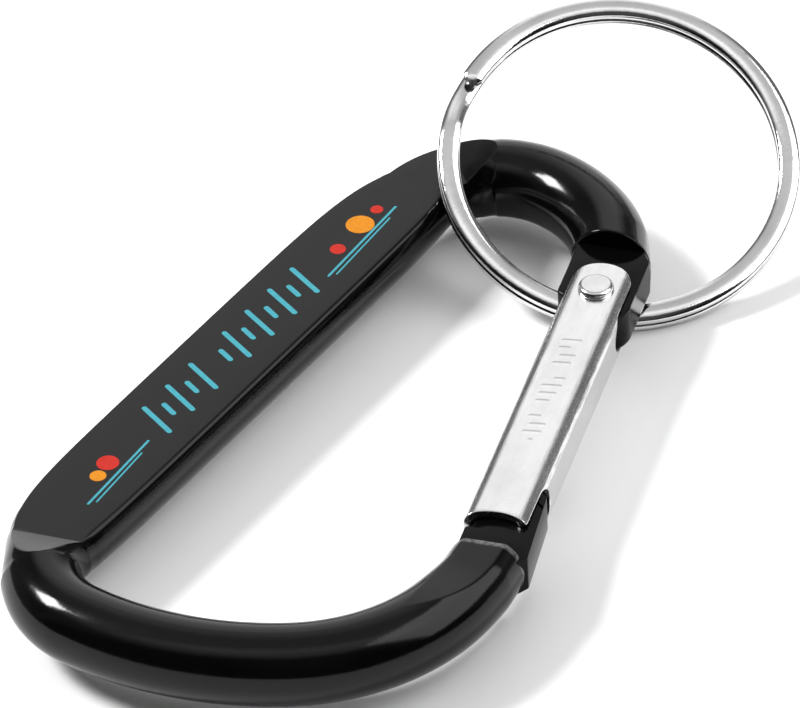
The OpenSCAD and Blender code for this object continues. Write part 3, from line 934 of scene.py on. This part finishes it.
def grey(level, blue=None):
    return (level, level, level if blue is None else blue, 1)


def black_material():
    """Glossy black coating: greyer on the flat, dull on the ramps, with painted shade that keeps
    the far ramp much darker than the near one, scuffed at the nose's cut edge, and with weaker
    mirroring on the tongues."""
    material, n = node_material("black_anodised", Metallic=0.0, IOR=1.3)
    place = n.coords()
    fine = n.noise(place, 2600.0, 2.0)
    broad = n.noise(place, 260.0, 3.0)
    ramp, flat, worn = n.attribute("ramp"), n.attribute("flat"), n.attribute("worn")
    speck = n.remap(n.noise(place, 900.0, 4.0), 0.62, 0.72, 0.0, 1.0)
    dark = n.mix_colour(flat, grey(0.0015, 0.0017), grey(0.004, 0.0043))
    # the ramps' grey is dull finish, and the far ramp's weaker mask adds painted shade
    dulled = n.math("MULTIPLY", ramp, n.remap(broad, 0.3, 0.7, 0.7, 1.0))
    dull = n.mix_colour(dulled, dark, grey(0.07))
    scuff = n.math("MULTIPLY", worn, n.remap(fine, 0.4, 0.6, 0.35, 1.0))
    n.drive("Base Color", n.mix_colour(scuff, dull, grey(0.12)))
    rough = n.math("ADD", n.remap(broad, 0.3, 0.7, 0.1, 0.16), n.math("MULTIPLY", ramp, 0.32))
    rough = n.math("ADD", rough, n.math("MULTIPLY", flat, 0.1))
    rough = n.math("ADD", rough, n.math("MULTIPLY", speck, 0.05))
    n.drive("Roughness", rough)
    n.drive("Specular IOR Level", n.remap(n.attribute("deep"), 0, 1, 0.5, 0.17))
    n.drive("Normal", n.bump(fine, 0.0000045, 0.8, n.bump(broad, 0.00003, 0.4)))
    return material


def gate_material():
    """Plated sheet with fine streaks along the gate, and on the folds dark scratch streaks that
    also carry a painted dark reflection.
    """
    material, n = node_material("plated_sheet", Metallic=1.0)
    turn = rad(GATE_TILT)
    streaks = n.noise(n.coords((1, 16, 1), turn), 3400.0, 4.0, 0.6)
    blotch = n.noise(n.coords((1, 2, 1), turn), 420.0, 4.0, 0.6)
    grit = n.noise(n.coords(), 5200.0, 3.0, 0.6)
    scratch = n.noise(n.coords((1, 25, 1), turn), 6000.0, 4.0, 0.7)
    fold = n.attribute("fold")
    # painted dark reflection along the middle of each fold, broken into scratch streaks
    fold_scratch_and_reflection = n.math("MULTIPLY", fold, n.remap(scratch, 0.46, 0.6, 0.0, 0.85))
    blotched = n.remap(blotch, 0.35, 0.7, 0.0, 1.0)
    clean = n.mix_colour(blotched, grey(0.72), grey(0.64, 0.645))
    n.drive("Base Color", n.mix_colour(fold_scratch_and_reflection, clean, grey(0.16)))
    streaked = n.remap(streaks, 0.3, 0.7, 0.15, 0.24)
    rough = n.math("ADD", streaked, n.remap(grit, 0.45, 0.75, 0.0, 0.08))
    n.drive("Roughness", n.math("ADD", rough, n.math("MULTIPLY", fold_scratch_and_reflection, 0.15)))
    n.drive("Normal", n.bump(streaks, 0.00001, 0.7, n.bump(blotch, 0.00006, 0.45)))
    return material


def steel_material(name, colour, rough_low, rough_high, grain, depth):
    """Bare steel: grain sets its roughness, and broader patches are a little darker."""
    material, n = node_material(name, Metallic=1.0)
    grain_value = n.noise(n.coords(), grain, 4.0, 0.6)
    worn = n.noise(n.coords(), grain / 9, 3.0)
    darker = tuple(c * 0.82 for c in colour) + (1,)
    patches = n.remap(worn, 0.35, 0.7, 0, 1)
    n.drive("Base Color", n.mix_colour(patches, colour + (1,), darker))
    n.drive("Roughness", n.remap(grain_value, 0.3, 0.7, rough_low, rough_high))
    n.drive("Normal", n.bump(grain_value, depth, 0.6))
    return material


def ink_material(name, colour):
    material, n = node_material(name, Metallic=0.0, IOR=1.25)
    cover = n.noise(n.coords(), 3000.0, 3.0)
    shade = tuple(c * 0.86 for c in colour) + (1,)
    n.drive("Base Color", n.mix_colour(n.remap(cover, 0.35, 0.7, 0, 1), colour + (1,), shade))
    n.drive("Roughness", n.remap(cover, 0.3, 0.7, 0.38, 0.5))
    n.drive("Normal", n.bump(cover, 0.000004, 0.5))
    return material


# ---------------------------------------------------------------- building the object
rod_points, rod_faces, masks = build_rod()
frame_shape = join([(rod_points, rod_faces), hinge_tongue(), nose_tongue()])
on_tongues = np.zeros(len(frame_shape[0]) - len(rod_points))
frame_masks = {key: np.r_[mask, on_tongues] for key, mask in masks.items()}
frame_masks["deep"] = np.r_[np.zeros(len(rod_points)), on_tongues + 1]
add_piece(
    "frame_body", frame_shape, "frame", black_material(), ["frame"],
    attributes=frame_masks,
)

gate_points, gate_faces, fold_mask = gate_shell()
add_piece(
    "gate_sheet", (gate_points, gate_faces), "gate", gate_material(),
    ["gate_shell"], crease=24.0, attributes={"fold": fold_mask},
)

rivet_steel = steel_material("rivet_steel", (0.7, 0.7, 0.7), 0.16, 0.26, 2600.0, 0.00001)
turned_steel = steel_material("turned_steel", (0.55, 0.56, 0.57), 0.25, 0.4, 4000.0, 0.00001)
drawn_wire = steel_material("drawn_wire", (0.6, 0.61, 0.62), 0.22, 0.36, 3600.0, 0.00001)
polished = steel_material("polished_wire", (0.8, 0.8, 0.805), 0.07, 0.14, 1500.0, 0.00002)
for name, shape, body, steel, slot, node, crease in (
    ("rivet", rivet(), "gate", rivet_steel, "rivet_steel", "hinge_rivet", 24.0),
    ("plunger", plunger(), "plunger", turned_steel, "plunger_steel", "spring_plunger", 30.0),
    ("spring", spring(), "gate", drawn_wire, "spring_steel", "gate_spring", 40.0),
    ("ring", split_ring(), "ring", polished, "ring_steel", "split_ring", 24.0),
):
    add_piece(name, shape, body, steel, [node], crease)

INKS = {
    "print_teal": (0.05, 0.3, 0.365),
    "print_orange": (0.57, 0.2, 0.006),
    "print_red": (0.435, 0.018, 0.01),
}
for name, outlines in print_marks():
    add_piece(name, print_solid(outlines), "frame", ink_material(name, INKS[name]), crease=40.0)


# ---------------------------------------------------------------- floor and light
FLOOR_HALF, FLOOR_LEVEL = 3.0, 0.94

# brightness at angles over the object, from behind it (0) to the camera's side (180)
WORLD_STOPS = [
    (0, 1.35), (36, 1.35), (50, 1.0), (70, 0.6), (90, 0.65),
    (104, 1.3), (114, 0.9), (128, 0.08), (180, 0.05),
]
# sideways from its middle the sky is full to one distance and dim from the next on, but
# it stays full overhead
WORLD_MIDDLE, WORLD_FULL, WORLD_DIM, WORLD_DIM_LEVEL = 0.07, 0.2, 0.42, 0.14
WORLD_HIGH, WORLD_TOP = 0.62, 0.92


def add_floor():
    mesh = bpy.data.meshes.new("floor")
    r = FLOOR_HALF
    mesh.from_pydata([(-r, -r, 0), (r, -r, 0), (r, r, 0), (-r, r, 0)], [], [(0, 1, 2, 3)])
    floor = bpy.data.objects.new("floor", mesh)
    bpy.context.scene.collection.objects.link(floor)
    material, n = node_material("pale_floor", Roughness=0.9, Specular_IOR_Level=0.1)
    n.end.inputs["Base Color"].default_value = grey(FLOOR_LEVEL)
    mesh.materials.append(material)


def area_light(name, place, size, power):
    """A square light that faces the object."""
    data = bpy.data.lights.new(name, "AREA")
    data.shape = "SQUARE"
    data.size = size
    data.energy = power
    light = bpy.data.objects.new(name, data)
    light.location = place
    light.rotation_euler = (-Vector(place)).to_track_quat("-Z", "Y").to_euler()
    bpy.context.scene.collection.objects.link(light)


def add_world():
    """A bright sky behind and over the object, darker to both sides."""
    world = bpy.data.worlds.new("studio")
    bpy.context.scene.world = world
    world.use_nodes = True
    n = Nodes(world.node_tree, "Background")
    direction = n.add("ShaderNodeTexCoord").outputs["Generated"]
    az = VIEW_AZIMUTH

    def along(x, y, z):
        inputs = {0: direction, 1: (x, y, z)}
        return n.add("ShaderNodeVectorMath", inputs, operation="DOT_PRODUCT").outputs["Value"]

    behind, side, up = along(-sin(az), cos(az), 0), along(cos(az), sin(az), 0), along(0, 0, 1)
    angle = n.math("ARCTAN2", up, behind)
    ramp = n.add("ShaderNodeValToRGB", {"Fac": n.remap(angle, 0, pi, 0, 1)})
    ramp.color_ramp.interpolation = "EASE"
    while len(ramp.color_ramp.elements) < len(WORLD_STOPS):
        ramp.color_ramp.elements.new(0.5)
    for element, (degrees, level) in zip(ramp.color_ramp.elements, WORLD_STOPS):
        element.position = degrees / 180
        element.color = grey(level)
    from_middle = n.math("ABSOLUTE", n.math("SUBTRACT", side, WORLD_MIDDLE))
    fade = n.remap(from_middle, WORLD_FULL, WORLD_DIM, 1.0, WORLD_DIM_LEVEL)
    overhead = n.remap(up, WORLD_HIGH, WORLD_TOP, 0.0, 1.0)
    shade = n.math("MAXIMUM", fade, overhead)
    n.drive("Strength", n.math("MULTIPLY", ramp.outputs["Color"], shade))
    n.end.inputs["Color"].default_value = grey(1)


add_floor()
add_world()
area_light("key", (-0.8, -0.28, 0.85), 0.32, 18.0)
area_light("fill", (0.75, 0.4, 0.75), 1.0, 9.0)
bpy.context.scene.view_settings.view_transform = "Standard"
